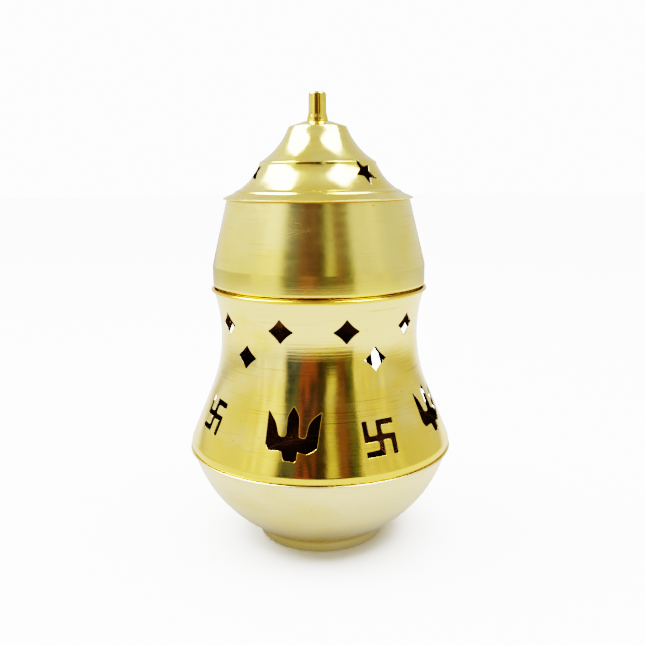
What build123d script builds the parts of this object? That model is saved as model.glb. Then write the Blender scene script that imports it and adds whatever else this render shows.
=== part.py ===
"""Incense burner of spun brass: a footed bowl, a waisted pierced cover, a plain collar and a
stepped lid with a pin knob, stacked loose on one vertical axis, over a loose ember cup.

Millimetres. +Z is up, and the origin is the centre of the foot's flat underside.
Angles round the axis are in degrees from the front (-Y), positive towards +X.
"""

from build123d import *
import os
from math import cos, pi, radians, sin

# ---------------------------------------------------------------- driving dimensions
SHEET = 0.6                 # spun and rolled brass sheet
STRIP = 0.6                 # strip that the locating rings are rolled from
REST_GAP = 0.25             # air between loose pieces that rest on each other
FIT_GAP = 0.4               # radial air between a locating ring and its mouth

FOOT_RADIUS = 29.0
FOOT_HEIGHT = 5.0
SEAM_RADIUS = 60.0          # bowl and cover where they meet
SEAM_HEIGHT = 44.6          # where the cover stands on the bowl's lip
MOUTH_HEIGHT = 117.4        # centre of the wire ring round the cover's mouth
MOUTH_RADIUS = 48.35
COLLAR_RADIUS = 48.2
CREASE_HEIGHT = 128.2       # where the collar turns from upright to tapered
COLLAR_TOP = 157.5
COLLAR_TOP_RADIUS = 41.1
BRIM_RADIUS = 42.75
BRIM_HEIGHT = 157.8
LEDGE_RADIUS = 26.3         # step half way up the lid
LEDGE_HEIGHT = 173.3
SHOULDER_RADIUS = 12.9
SHOULDER_HEIGHT = 188.8
LID_TOP = 191.2
TOTAL_HEIGHT = 203.8


def spun(points, radii, thickness=SHEET):
    """Sheet turned about the Z axis. The points (radius, height) run along its outer face, and
    the thickness lies inside them: of the two sides of the path, the one with less metal."""
    path = Plane.XZ * FilletPolyline(*points, radius=radii)
    shells = [
        revolve(make_face(offset(path, thickness, side=side)), Axis.Z)
        for side in (Side.LEFT, Side.RIGHT)
    ]
    return min(shells, key=lambda shell: shell.volume)


def strip_ring(outer_radius, low, high, thickness=STRIP):
    """A plain band rolled from strip, standing on edge."""
    section = Plane.XZ * Pos(outer_radius - thickness / 2, (low + high) / 2)
    return revolve(section * Rectangle(thickness, high - low), Axis.Z)


# ---------------------------------------------------------------- footed bowl
LIP_RADIUS = 61.0
LIP_THICKNESS = 1.0


def base_bowl():
    """Flat foot, hollow neck, full rounded side and a hemmed lip that the cover stands on."""
    top = SEAM_HEIGHT - REST_GAP - LIP_THICKNESS / 2
    shell = spun(
        [(0, 0), (FOOT_RADIUS, 0), (FOOT_RADIUS + 0.6, FOOT_HEIGHT), (52.35, 21.1), (SEAM_RADIUS, top)],
        [1.8, 3.0, 58.0],
    )
    hem = Plane.XZ * Pos(LIP_RADIUS - 1.0, top) * RectangleRounded(2.0, LIP_THICKNESS, 0.42)
    return shell + revolve(hem, Axis.Z)


def bowl_locating_ring(bowl):
    """Strip soldered inside the bowl's mouth. It stands up inside the cover and centres it."""
    outer = SEAM_RADIUS - SHEET - FIT_GAP
    return strip_ring(outer, SEAM_HEIGHT - 3.0, SEAM_HEIGHT + 4.0) - bowl


# ---------------------------------------------------------------- ember cup
CUP_FLOOR = SHEET + REST_GAP
CUP_FOOT_RADIUS = 21.0
CUP_RIM_RADIUS = 29.5
CUP_RIM_HEIGHT = 32.5
CUP_FLANGE_RADIUS = 32.5
AIR_HOLES = 12
AIR_HOLE_RADIUS = 2.0
AIR_HOLE_HEIGHT = 9.0


def ember_cup():
    """Loose tapered cup that holds the embers clear of the bowl, with a flange to lift it by
    and a ring of air holes low in its wall."""
    cup = spun(
        [(0, CUP_FLOOR), (CUP_FOOT_RADIUS, CUP_FLOOR), (CUP_RIM_RADIUS, CUP_RIM_HEIGHT),
         (CUP_FLANGE_RADIUS, CUP_RIM_HEIGHT + 0.6)],
        [4.0, 1.5],
    )
    drill = Pos(0, 0, AIR_HOLE_HEIGHT) * Rot(0, 90, 0) * Cylinder(AIR_HOLE_RADIUS, 10.0)
    drills = [
        Rot(0, 0, 360 * hole / AIR_HOLES) * Pos(CUP_FOOT_RADIUS + 2.0, 0, 0) * drill
        for hole in range(AIR_HOLES)
    ]
    return cup - drills


# ---------------------------------------------------------------- punched shapes
def punch_plane(angle, radius, height, lean):
    """Plane lying on a wall: local x runs round to the right, y up the wall, z outwards.
    The wall's outward normal leans up from level by `lean` degrees."""
    a, b = radians(angle), radians(lean)
    return Plane(
        origin=(radius * sin(a), -radius * cos(a), height),
        x_dir=(cos(a), sin(a), 0),
        z_dir=(sin(a) * cos(b), -cos(a) * cos(b), sin(b)),
    )


def diamond(width, height, hollow=0.4):
    """Lozenge with slightly hollow sides."""
    tips = [(width / 2, 0), (0, height / 2), (-width / 2, 0), (0, -height / 2)]
    sides = []
    for start, end in zip(tips, tips[1:] + tips[:1]):
        middle = ((start[0] + end[0]) / 2, (start[1] + end[1]) / 2)
        pull = 1 - hollow / (middle[0] ** 2 + middle[1] ** 2) ** 0.5
        sides.append(ThreePointArc(start, (middle[0] * pull, middle[1] * pull), end))
    return make_face(Curve() + sides)


def star(tip_radius, notch_radius, points=5):
    """Five-pointed star, one point up."""
    corners = []
    for i in range(2 * points):
        reach = tip_radius if i % 2 == 0 else notch_radius
        angle = pi / 2 + pi * i / points
        corners.append((reach * cos(angle), reach * sin(angle)))
    return make_face(Polyline(*corners, close=True))


def swastika(span, stroke):
    """Right-turning Hindu sign of good fortune, from one crossing and four bent arms."""
    arm = (span - stroke) / 2
    shape = Rectangle(span, stroke) + Rectangle(stroke, span)
    foot = Pos(arm / 2, arm) * Rectangle(arm + stroke, stroke)
    for quarter in range(4):
        shape += Rot(0, 0, 90 * quarter) * foot
    return shape


def trishul(width, height):
    """Trident: pointed middle prong, two outer prongs with hollow inner edges, short stem."""
    x = width / 2
    low = -height / 2
    yoke, notch = low + 0.19 * height, low + 0.45 * height
    prong, gap, stem = 0.125 * width, 0.27 * width, 0.11 * width
    outer_tip = low + 0.9 * height
    right = [
        Line((0, low), (stem * 0.6, low)),
        RadiusArc((stem * 0.6, low), (stem, low + 1.0), -1.4),
        Line((stem, low + 1.0), (stem, yoke)),
        Line((stem, yoke), (x * 0.72, yoke)),
        ThreePointArc((x * 0.72, yoke), (x * 0.92, yoke + 1.3), (x * 0.97, notch)),
        Line((x * 0.97, notch), (x, outer_tip)),
        ThreePointArc((x, outer_tip), (x * 0.70, notch + 4.6), (gap, notch + 0.9)),
        ThreePointArc((gap, notch + 0.9), ((gap + prong) / 2, notch - 0.5), (prong, notch + 0.9)),
        Line((prong, notch + 0.9), (prong, low + 0.78 * height)),
        ThreePointArc((prong, low + 0.78 * height), (prong * 0.7, low + 0.9 * height), (0, -low)),
    ]
    outline = Curve() + right + [mirror(edge, Plane.YZ) for edge in right]
    return make_face(outline)


def punch(plane, shape, depth=4.5, turned=0.0):
    """Prism of a flat shape, driven through the wall that the plane lies on."""
    return extrude(plane * Rot(0, 0, turned) * shape, amount=depth, both=True)


# ---------------------------------------------------------------- waisted pierced cover
CONE_LEAN = 22.8            # lean of the cover's lower wall from upright
BELLY_CORNER = (60.55, 47.1)
WAIST_CORNER = (41.2, 93.2)
WAIST_BEND = 66.0
SIGN_HEIGHT = 61.0
TRISHUL_HEIGHT = 64.0
# (angle, height above or below its usual level, tilt) of each hand-punched opening
SWASTIKAS = ((-60.5, 3.5, -3.0), (27.2, 0.0, 0.0), (105.0, 1.0, 2.0), (195.0, 0.0, -3.0))
TRISHULS = ((-12.4, 0.0, 0.0), (67.1, 1.8, -2.0), (143.7, 6.0, 0.0), (247.0, 1.0, 2.0))
UPPER_DIAMONDS = (-59.3, -20.9, 14.4, 54.6, 91.0, 128.0, 163.0, 199.0, 232.0, 267.0)
LOWER_DIAMONDS = (-43.1, 31.3, 111.0, 181.0, 250.0)


def cover_radius(height):
    """Outer radius of the cover's straight lower wall at a height."""
    (belly_r, belly_z), (waist_r, waist_z) = BELLY_CORNER, WAIST_CORNER
    return belly_r + (height - belly_z) * (waist_r - belly_r) / (waist_z - belly_z)


def waist_cover():
    """Belly, long waist and flared mouth in one spun shell, then the punched openings."""
    shell = spun(
        [(SEAM_RADIUS, SEAM_HEIGHT), BELLY_CORNER, WAIST_CORNER, (48.1, MOUTH_HEIGHT - 0.3)],
        [5.0, WAIST_BEND],
    )
    cuts = []
    for angle, lift, tilt in SWASTIKAS:
        z = SIGN_HEIGHT + lift
        plane = punch_plane(angle, cover_radius(z), z, CONE_LEAN)
        cuts.append(punch(plane, swastika(14.9, 2.4), turned=tilt))
    for angle, lift, tilt in TRISHULS:
        z = TRISHUL_HEIGHT + lift
        plane = punch_plane(angle, cover_radius(z), z, CONE_LEAN)
        cuts.append(punch(plane, trishul(23.0, 22.8), turned=tilt))
    for angle in UPPER_DIAMONDS:
        cuts.append(punch(punch_plane(angle, 45.3, 104.6, 0), diamond(11.4, 10.6)))
    for angle in LOWER_DIAMONDS:
        cuts.append(punch(punch_plane(angle, 45.6, 92.0, 5), diamond(11.2, 10.6)))
    return shell - cuts


def mouth_ring(cover):
    """Round brass wire brazed along the mouth's edge. The sheet's edge is let into it."""
    return Pos(0, 0, MOUTH_HEIGHT) * Torus(MOUTH_RADIUS, 0.8) - cover


# ---------------------------------------------------------------- collar
COLLAR_SEAT = MOUTH_HEIGHT + 0.8 + REST_GAP
SPIGOT_RADIUS = 46.05


def collar_band():
    """Plain band with a rounded-in foot, upright at first and then tapered."""
    return spun(
        [(SPIGOT_RADIUS, COLLAR_SEAT), (COLLAR_RADIUS, COLLAR_SEAT),
         (COLLAR_RADIUS, CREASE_HEIGHT), (COLLAR_TOP_RADIUS, COLLAR_TOP)],
        [2.0, 0.8],
    )


def collar_spigot():
    """Strip soldered inside the collar's foot, which drops into the cover's mouth."""
    return strip_ring(SPIGOT_RADIUS, COLLAR_SEAT - 5.2, COLLAR_SEAT + 2.4)


# ---------------------------------------------------------------- lid and knob
KNOB_RADIUS = 4.0
KNOB_FOOT_RADIUS = 4.8
SCREW_RADIUS = 1.5
BAND_EDGE = (37.5, 160.1)   # outer edge of the raised band on the brim
STAR_ANGLES = (45.3, 165.3, 285.3)
LID_SPIGOT_RADIUS = COLLAR_TOP_RADIUS - SHEET - FIT_GAP


def lid_dome():
    """Stepped lid: brim with a raised band, hollow skirt with stars, ledge, bell and cap."""
    shell = spun(
        [
            (BRIM_RADIUS, BRIM_HEIGHT),
            BAND_EDGE,
            (37.1, 160.8),
            (34.9, 161.8),
            (30.0, 165.6),
            (LEDGE_RADIUS, LEDGE_HEIGHT - 1.1),
            (LEDGE_RADIUS - 0.05, LEDGE_HEIGHT),
            (17.5, 178.9),
            (SHOULDER_RADIUS, SHOULDER_HEIGHT),
            (5.4, LID_TOP),
            (SCREW_RADIUS + 0.3, LID_TOP),
        ],
        [1.0, 0.65, 1.0, 28.0, 0.7, 0.7, 30.0, 0.8, 1.0],
    )
    cuts = []
    for angle in STAR_ANGLES:
        plane = punch_plane(angle, 28.4, 168.8, 33)
        cuts.append(punch(plane, star(6.9, 2.9), depth=4.0, turned=26))
    return shell - cuts


def lid_spigot(dome):
    """Strip soldered under the brim, which drops into the collar."""
    band_radius, band_height = BAND_EDGE
    slope = (band_height - BRIM_HEIGHT) / (BRIM_RADIUS - band_radius)
    top = BRIM_HEIGHT + (BRIM_RADIUS - LID_SPIGOT_RADIUS) * slope - SHEET / 2
    return strip_ring(LID_SPIGOT_RADIUS, top - 6.5, top) - dome


def knob():
    """Turned pin with a flared foot and a rounded top, tapped from below."""
    with BuildSketch(Plane.XZ) as section:
        with BuildLine():
            Line((0, LID_TOP), (KNOB_FOOT_RADIUS, LID_TOP))
            Line((KNOB_FOOT_RADIUS, LID_TOP), (KNOB_FOOT_RADIUS, LID_TOP + 0.5))
            RadiusArc((KNOB_FOOT_RADIUS, LID_TOP + 0.5), (KNOB_RADIUS, LID_TOP + 4.4), 10.0)
            Line((KNOB_RADIUS, LID_TOP + 4.4), (KNOB_RADIUS, TOTAL_HEIGHT - 1.3))
            RadiusArc((KNOB_RADIUS, TOTAL_HEIGHT - 1.3), (2.7, TOTAL_HEIGHT - 0.15), -1.35)
            Line((2.7, TOTAL_HEIGHT - 0.15), (0, TOTAL_HEIGHT))
            Line((0, TOTAL_HEIGHT), (0, LID_TOP))
        make_face()
    body = revolve(section.sketch, Axis.Z)
    tapping = Pos(0, 0, LID_TOP + 4.0) * Cylinder(SCREW_RADIUS, 8.0)
    return body - tapping


WASHER_THICKNESS = 0.8
WASHER_TOP = LID_TOP - SHEET


def knob_washer():
    """Flat washer between the lid's cap and the screw's head."""
    centre = Pos(0, 0, WASHER_TOP - WASHER_THICKNESS / 2)
    return centre * (Cylinder(4.4, WASHER_THICKNESS) - Cylinder(SCREW_RADIUS + 0.2, 2.0))


def knob_screw():
    """Slotted pan-head screw that holds the knob from inside the lid."""
    seat = WASHER_TOP - WASHER_THICKNESS
    head = Pos(0, 0, seat - 1.0) * Cylinder(2.9, 2.0)
    head = fillet(head.edges().sort_by(Axis.Z)[0], 0.8)
    slot = Pos(0, 0, seat - 2.0) * Box(6.0, 0.8, 1.8)
    shank_top = LID_TOP + 6.8
    shank = Pos(0, 0, (seat + shank_top) / 2) * Cylinder(SCREW_RADIUS - 0.04, shank_top - seat)
    return head - slot + shank


# ---------------------------------------------------------------- writing the pieces
def main():
    bowl = base_bowl()
    cover = waist_cover()
    dome = lid_dome()
    pieces = {
        "base_bowl": bowl,
        "bowl_locating_ring": bowl_locating_ring(bowl),
        "ember_cup": ember_cup(),
        "waist_cover": cover,
        "mouth_ring": mouth_ring(cover),
        "collar_band": collar_band(),
        "collar_spigot": collar_spigot(),
        "lid_dome": dome,
        "lid_spigot": lid_spigot(dome),
        "knob": knob(),
        "knob_washer": knob_washer(),
        "knob_screw": knob_screw(),
    }
    os.makedirs("parts", exist_ok=True)
    for name, piece in pieces.items():
        export_step(piece, f"parts/{name}.step")
        print(name, len(piece.solids()), round(piece.volume, 1))


main()
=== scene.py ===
"""Looks of a stacked brass incense burner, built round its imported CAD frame.

Every shape is drawn in millimetres, in the frame's own axes: +Z is up and -Y is the front.
A finished piece is scaled to metres, and its object stays at the origin.
Angles round the axis are in degrees from the front, positive towards +X.
"""

import logging
import random
from dataclasses import dataclass
from enum import Enum
from math import acos, atan, cos, degrees, pi, radians, sin, tan
from typing import Optional, Sequence, Union

import bmesh
import bpy
from mathutils import Matrix, Vector


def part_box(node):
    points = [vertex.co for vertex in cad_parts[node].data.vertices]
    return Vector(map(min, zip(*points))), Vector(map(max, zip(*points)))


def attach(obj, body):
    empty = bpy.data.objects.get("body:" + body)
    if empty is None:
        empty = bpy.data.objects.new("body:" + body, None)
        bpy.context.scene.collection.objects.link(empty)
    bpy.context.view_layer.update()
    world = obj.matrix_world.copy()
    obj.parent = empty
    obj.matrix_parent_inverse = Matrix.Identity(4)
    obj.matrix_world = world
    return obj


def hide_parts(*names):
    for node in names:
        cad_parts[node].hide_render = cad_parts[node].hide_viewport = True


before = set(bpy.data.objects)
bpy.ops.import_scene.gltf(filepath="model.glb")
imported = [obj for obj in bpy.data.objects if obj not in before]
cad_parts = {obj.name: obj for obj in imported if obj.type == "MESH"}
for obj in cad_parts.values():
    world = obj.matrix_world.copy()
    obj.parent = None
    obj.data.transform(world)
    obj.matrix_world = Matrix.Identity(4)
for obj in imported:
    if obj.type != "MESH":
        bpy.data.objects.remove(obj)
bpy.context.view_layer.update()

MM = 0.001
SHEET = 0.6                     # sheet and strip thickness
TURN_STEPS = 288                # faces round a spun piece
ARC_FLAT = 0.008                # largest gap between an arc and its steps
ARC_STEPS = (radians(2.5), radians(14.0))       # shortest and longest step along an arc
CREASE = radians(28.0)          # a sharper edge than this stays crisp
UPRIGHT = Matrix.Rotation(pi / 2, 4, "X")       # turns a drawing's y into height
WHITE = (1.0, 1.0, 1.0)
TARNISH = (0.62, 0.50, 0.38)    # what a tarnished spot leaves of the metal's colour
# Soot tint, also used to paint the shade of the inner faces.
SOOT_AND_SHADE_TINT = (0.78, 0.88, 0.95)       # what thick soot takes from it

Colour = tuple[float, float, float]
Feed = Union[bpy.types.NodeSocket, float, tuple]        # what a shader input can be given

log = logging.getLogger("incense_burner")


# ---------------------------------------------------------------- drawing and turning
@dataclass(frozen=True)
class Corner:
    """One corner of a drawn line.

    Args:
        x: distance from the axis on a section, or across a flat shape.
        y: height on a section, or up a flat shape.
        round: radius of the arc that replaces the corner, 0 for a sharp one.
    """

    x: float
    y: float
    round: float = 0.0

    @property
    def place(self) -> Vector:
        """The corner as a vector in the drawing's plane."""
        return Vector((self.x, self.y, 0.0))


def corners_of(*numbers: Sequence[float]) -> list[Corner]:
    """Corners from (x, y) or (x, y, round) entries."""
    return [Corner(*entry) for entry in numbers]


class Pencil:
    """Draws a wire of straight runs and tangent arcs into a bmesh, with its operators."""

    def __init__(self, bm: bmesh.types.BMesh, start: Vector) -> None:
        """Puts the pencil down.

        Args:
            bm: the mesh to draw in.
            start: where the line starts.
        """
        self.bm = bm
        self.tip = bm.verts.new(start)

    def run(self, end: Vector) -> None:
        """Draws a straight run from the tip.

        Args:
            end: where it goes.
        """
        if (end - self.tip.co).length < 1e-6:
            return
        grown = bmesh.ops.extrude_vert_indiv(self.bm, verts=[self.tip])
        self.tip = grown["verts"][0]
        self.tip.co = end

    def arc(self, into: Vector, away: Vector, radius: float) -> None:
        """Draws an arc that turns the line from one direction to another.

        Args:
            into: unit direction in which the line arrives.
            away: unit direction in which it leaves.
            radius: the arc's radius.
        """
        axis = into.cross(away).normalized()
        angle = into.angle(away)
        step = 2 * acos(max(0.9, 1 - ARC_FLAT / radius))
        step = min(max(step, ARC_STEPS[0]), ARC_STEPS[1])
        swept = bmesh.ops.spin(
            self.bm,
            geom=[self.tip],
            cent=self.tip.co + axis.cross(into) * radius,
            axis=axis,
            angle=angle,
            steps=max(2, round(angle / step)),
            use_merge=False,
            use_duplicate=False,
        )
        self.tip = verts_of(swept["geom_last"])[0]

    def corner(self, before: Vector, corner: Corner, after: Vector) -> None:
        """Draws up to a corner and round it.

        Args:
            before: the point that the line comes from.
            corner: the corner to round.
            after: the point that it goes on to.
        """
        into = (corner.place - before).normalized()
        away = (after - corner.place).normalized()
        if corner.round <= 0 or into.angle(away) < 1e-4:
            self.run(corner.place)
            return
        self.run(corner.place - into * corner.round * tan(into.angle(away) / 2))
        self.arc(into, away, corner.round)


def verts_of(geometry: Sequence[object]) -> list[bmesh.types.BMVert]:
    """The vertices among what a bmesh operator gives back."""
    return [item for item in geometry if isinstance(item, bmesh.types.BMVert)]


def draw_line(bm: bmesh.types.BMesh, corners: Sequence[Corner]) -> None:
    """Draws an open line through its corners in the XY plane.

    Args:
        bm: the mesh to draw in.
        corners: the line's corners, with its two ends.
    """
    pencil = Pencil(bm, corners[0].place)
    for before, corner, after in zip(corners, corners[1:], corners[2:]):
        pencil.corner(before.place, corner, after.place)
    pencil.run(corners[-1].place)


def draw_loop(bm: bmesh.types.BMesh, corners: Sequence[Corner]) -> None:
    """Draws a closed line round its corners in the XY plane.

    Args:
        bm: the mesh to draw in.
        corners: the corners, in order round the shape.
    """
    start = (corners[-1].place + corners[0].place) / 2
    pencil = Pencil(bm, start)
    places = [start, *(corner.place for corner in corners), start]
    for before, corner, after in zip(places, corners, places[2:]):
        pencil.corner(before, corner, after)
    pencil.run(start)
    bmesh.ops.remove_doubles(bm, verts=bm.verts, dist=1e-4)


def spin_round(bm: bmesh.types.BMesh, steps: int = TURN_STEPS) -> None:
    """Stands a drawn section upright and spins it once round the axis, closed at its poles.

    Args:
        bm: the mesh that holds the section.
        steps: number of faces round the piece.
    """
    bmesh.ops.transform(bm, matrix=UPRIGHT, verts=bm.verts)
    bmesh.ops.spin(
        bm,
        geom=bm.verts[:] + bm.edges[:],
        cent=(0, 0, 0),
        axis=(0, 0, 1),
        angle=2 * pi,
        steps=steps,
        use_merge=True,
        use_duplicate=False,
    )
    bmesh.ops.remove_doubles(bm, verts=bm.verts, dist=1e-3)
    bmesh.ops.dissolve_degenerate(bm, edges=bm.edges, dist=1e-4)
    bmesh.ops.recalc_face_normals(bm, faces=bm.faces)
    widest = max(bm.faces, key=lambda face: face.calc_center_median().xy.length)
    if widest.normal.xy.dot(widest.calc_center_median().xy) < 0:
        bmesh.ops.reverse_faces(bm, faces=bm.faces)


def object_from(bm: bmesh.types.BMesh, name: str) -> bpy.types.Object:
    """Turns a bmesh into an object in the scene.

    Args:
        bm: the mesh, which is freed.
        name: the object's name.

    Returns:
        The new object.
    """
    mesh = bpy.data.meshes.new(name)
    bm.to_mesh(mesh)
    bm.free()
    piece = bpy.data.objects.new(name, mesh)
    bpy.context.scene.collection.objects.link(piece)
    return piece


def cut_with(piece: bpy.types.Object, tool: bpy.types.Object) -> None:
    """Has a tool cut a piece. The tool is hidden, and finish_mesh removes it.

    Args:
        piece: what is cut.
        tool: the closed shape that is taken away from it.
    """
    tool.hide_render = True
    cut = piece.modifiers.new("cut", "BOOLEAN")
    cut.operation, cut.solver, cut.object = "DIFFERENCE", "MANIFOLD", tool
    cut.material_mode = "TRANSFER"


def finish_mesh(piece: bpy.types.Object) -> None:
    """Applies a piece's modifiers, scales it to metres and shades it smooth between creases.

    Args:
        piece: the piece, drawn in millimetres.
    """
    tools = [step.object for step in piece.modifiers if step.type == "BOOLEAN"]
    bpy.context.view_layer.update()
    graph = bpy.context.evaluated_depsgraph_get()
    mesh = bpy.data.meshes.new_from_object(piece.evaluated_get(graph))
    piece.modifiers.clear()
    raw, piece.data = piece.data, mesh
    bpy.data.meshes.remove(raw)
    for tool in tools:
        bpy.data.objects.remove(tool)
    mesh.name = piece.name
    mesh.transform(Matrix.Scale(MM, 4))
    mesh.shade_smooth()
    mesh.set_sharp_from_angle(angle=CREASE)


# ---------------------------------------------------------------- shader nodes
def opaque(colour: Colour) -> tuple[float, float, float, float]:
    """A colour with its alpha, as a socket holds it."""
    return (*colour, 1.0)


class NodeBench:
    """Adds shader nodes to one tree, and joins them."""

    def __init__(self, tree: bpy.types.NodeTree) -> None:
        """Takes the tree to work in."""
        self.tree = tree

    def link(self, source: Feed, target: bpy.types.NodeSocket) -> None:
        """Feeds an input.

        Args:
            source: an output socket, or a plain value.
            target: the input socket.
        """
        if isinstance(source, bpy.types.NodeSocket):
            self.tree.links.new(source, target)
        else:
            target.default_value = source

    def node(
        self, kind: str, feeds: Optional[dict[Union[str, int], Feed]] = None, **settings: object
    ) -> bpy.types.Node:
        """Adds a node.

        Args:
            kind: the node's type.
            feeds: what its inputs are given, by name or number.
            **settings: the node's own settings.

        Returns:
            The node.
        """
        made = self.tree.nodes.new(kind)
        for key, value in settings.items():
            setattr(made, key, value)
        for key, source in (feeds or {}).items():
            self.link(source, made.inputs[key])
        return made

    def math(self, operation: str, *values: Feed) -> bpy.types.NodeSocket:
        """The result of a Math node on one to three values."""
        return self.node("ShaderNodeMath", dict(enumerate(values)), operation=operation).outputs[0]

    def times(self, value: Feed, by: Feed) -> bpy.types.NodeSocket:
        """One value multiplied by another."""
        return self.math("MULTIPLY", value, by)

    def vector(self, x: Feed, y: Feed, z: Feed) -> bpy.types.NodeSocket:
        """Three values joined to a vector."""
        return self.node("ShaderNodeCombineXYZ", {0: x, 1: y, 2: z}).outputs[0]

    def split(self, coordinates: str) -> tuple[bpy.types.NodeSocket, ...]:
        """The x, y and z of one of the Texture Coordinate node's outputs."""
        where = self.node("ShaderNodeTexCoord").outputs[coordinates]
        return tuple(self.node("ShaderNodeSeparateXYZ", {0: where}).outputs)

    def noise(self, at: Feed, detail: float, rough: float = 0.55) -> bpy.types.NodeSocket:
        """The value of a noise of scale 1.

        Args:
            at: the vector that it is read at.
            detail: how many octaves it has.
            rough: how strong its finer octaves are.

        Returns:
            The noise, about 0.5 on average.
        """
        feeds = {"Vector": at, "Scale": 1.0, "Detail": detail, "Roughness": rough}
        return self.node("ShaderNodeTexNoise", feeds).outputs[0]

    def spread(
        self, value: Feed, low: float, high: float, way: str = "SMOOTHSTEP"
    ) -> bpy.types.NodeSocket:
        """Stretches a value.

        Args:
            value: what is stretched.
            low: the value that gives 0.
            high: the value that gives 1.
            way: how it runs between them.

        Returns:
            The stretched value, from 0 to 1.
        """
        feeds = {"Value": value, "From Min": low, "From Max": high}
        return self.node("ShaderNodeMapRange", feeds, interpolation_type=way).outputs[0]

    def mix(
        self, factor: Feed, first: Feed, second: Feed, way: str = "MIX"
    ) -> bpy.types.NodeSocket:
        """Mixes two colours.

        Args:
            factor: 0 for the first, 1 for the second.
            first: a colour or a socket.
            second: a colour or a socket.
            way: how they are mixed.

        Returns:
            The mixed colour.
        """
        feeds = {"Factor": factor, "A": first, "B": second}
        return self.node("ShaderNodeMix", feeds, data_type="RGBA", blend_type=way).outputs["Result"]

    def ramp(self, value: Feed, stops: Sequence[tuple[float, Colour]]) -> bpy.types.NodeSocket:
        """Colours a value by a ramp.

        Args:
            value: what is coloured.
            stops: place and colour of each stop, where the first two take the ramp's own.

        Returns:
            The colour.
        """
        made = self.node("ShaderNodeValToRGB", {"Fac": value})
        elements = made.color_ramp.elements
        for index, (position, colour) in enumerate(stops):
            stop = elements[index] if index < 2 else elements.new(position)
            stop.position, stop.color = position, opaque(colour)
        return made.outputs["Color"]

    def seen_by(
        self, ray: str, usual: bpy.types.NodeSocket, special: bpy.types.NodeSocket
    ) -> bpy.types.NodeSocket:
        """Shows one kind of ray a shader of its own.

        Args:
            ray: name of the Light Path output for that kind.
            usual: the shader that all other rays see.
            special: the shader for that kind.

        Returns:
            The chosen shader.
        """
        path = self.node("ShaderNodeLightPath").outputs[ray]
        return self.node("ShaderNodeMixShader", {0: path, 1: usual, 2: special}).outputs[0]


class Paint(NodeBench):
    """A new material with its nodes."""

    def __init__(self, name: str) -> None:
        """Makes the material of that name."""
        self.made = bpy.data.materials.new(name)
        self.made.use_nodes = True
        super().__init__(self.made.node_tree)
        self.shader = self.tree.nodes["Principled BSDF"]
        self.surface = self.tree.nodes["Material Output"].inputs["Surface"]


class GroupMaker(NodeBench):
    """Builds a shader node group with named inputs and outputs."""

    def __init__(self, name: str, inputs: dict[str, float], outputs: Sequence[str]) -> None:
        """Makes the group and its sockets.

        Args:
            name: the group's name.
            inputs: each input value's name and default.
            outputs: each output value's name.
        """
        super().__init__(bpy.data.node_groups.new(name, "ShaderNodeTree"))
        for label, default in inputs.items():
            socket = self.tree.interface.new_socket(
                name=label, in_out="INPUT", socket_type="NodeSocketFloat"
            )
            socket.default_value = default
        for label in outputs:
            self.tree.interface.new_socket(
                name=label, in_out="OUTPUT", socket_type="NodeSocketFloat"
            )
        self.inputs = self.node("NodeGroupInput").outputs
        self.outputs = self.node("NodeGroupOutput").inputs


def spinning_lines_group() -> bpy.types.NodeTree:
    """Fine rings that the spinning tool leaves round the sheet.

    Returns:
        A group with Height, the rings' profile, Streaks, where the rings are strongest, and
        Hairlines, the few deep ones that hold tarnish.
    """
    g = GroupMaker(
        "spinning_lines",
        {"Pitch": 0.5, "Rise": 1.0, "Run": 0.0},
        ("Height", "Streaks", "Hairlines"),
    )
    x, y, z = g.split("Object")
    reach = g.math("SQRT", g.math("ADD", g.times(x, x), g.times(y, y)))
    along = g.math("ADD", g.times(z, g.inputs["Rise"]), g.times(reach, g.inputs["Run"]))
    lines = g.math("DIVIDE", g.times(along, 1 / MM), g.inputs["Pitch"])
    slow = g.vector(g.times(x, 7.0), g.times(y, 7.0), lines)
    g.link(g.noise(slow, 3.0, 0.6), g.outputs["Height"])
    patches = g.vector(g.times(x, 26.0), g.times(y, 26.0), g.times(lines, 0.18))
    g.link(g.spread(g.noise(patches, 3.0, 0.5), 0.30, 0.80), g.outputs["Streaks"])
    broken = g.vector(g.times(x, 34.0), g.times(y, 34.0), lines)
    g.link(g.spread(g.noise(broken, 2.0), 0.60, 0.80), g.outputs["Hairlines"])
    return g.tree


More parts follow.
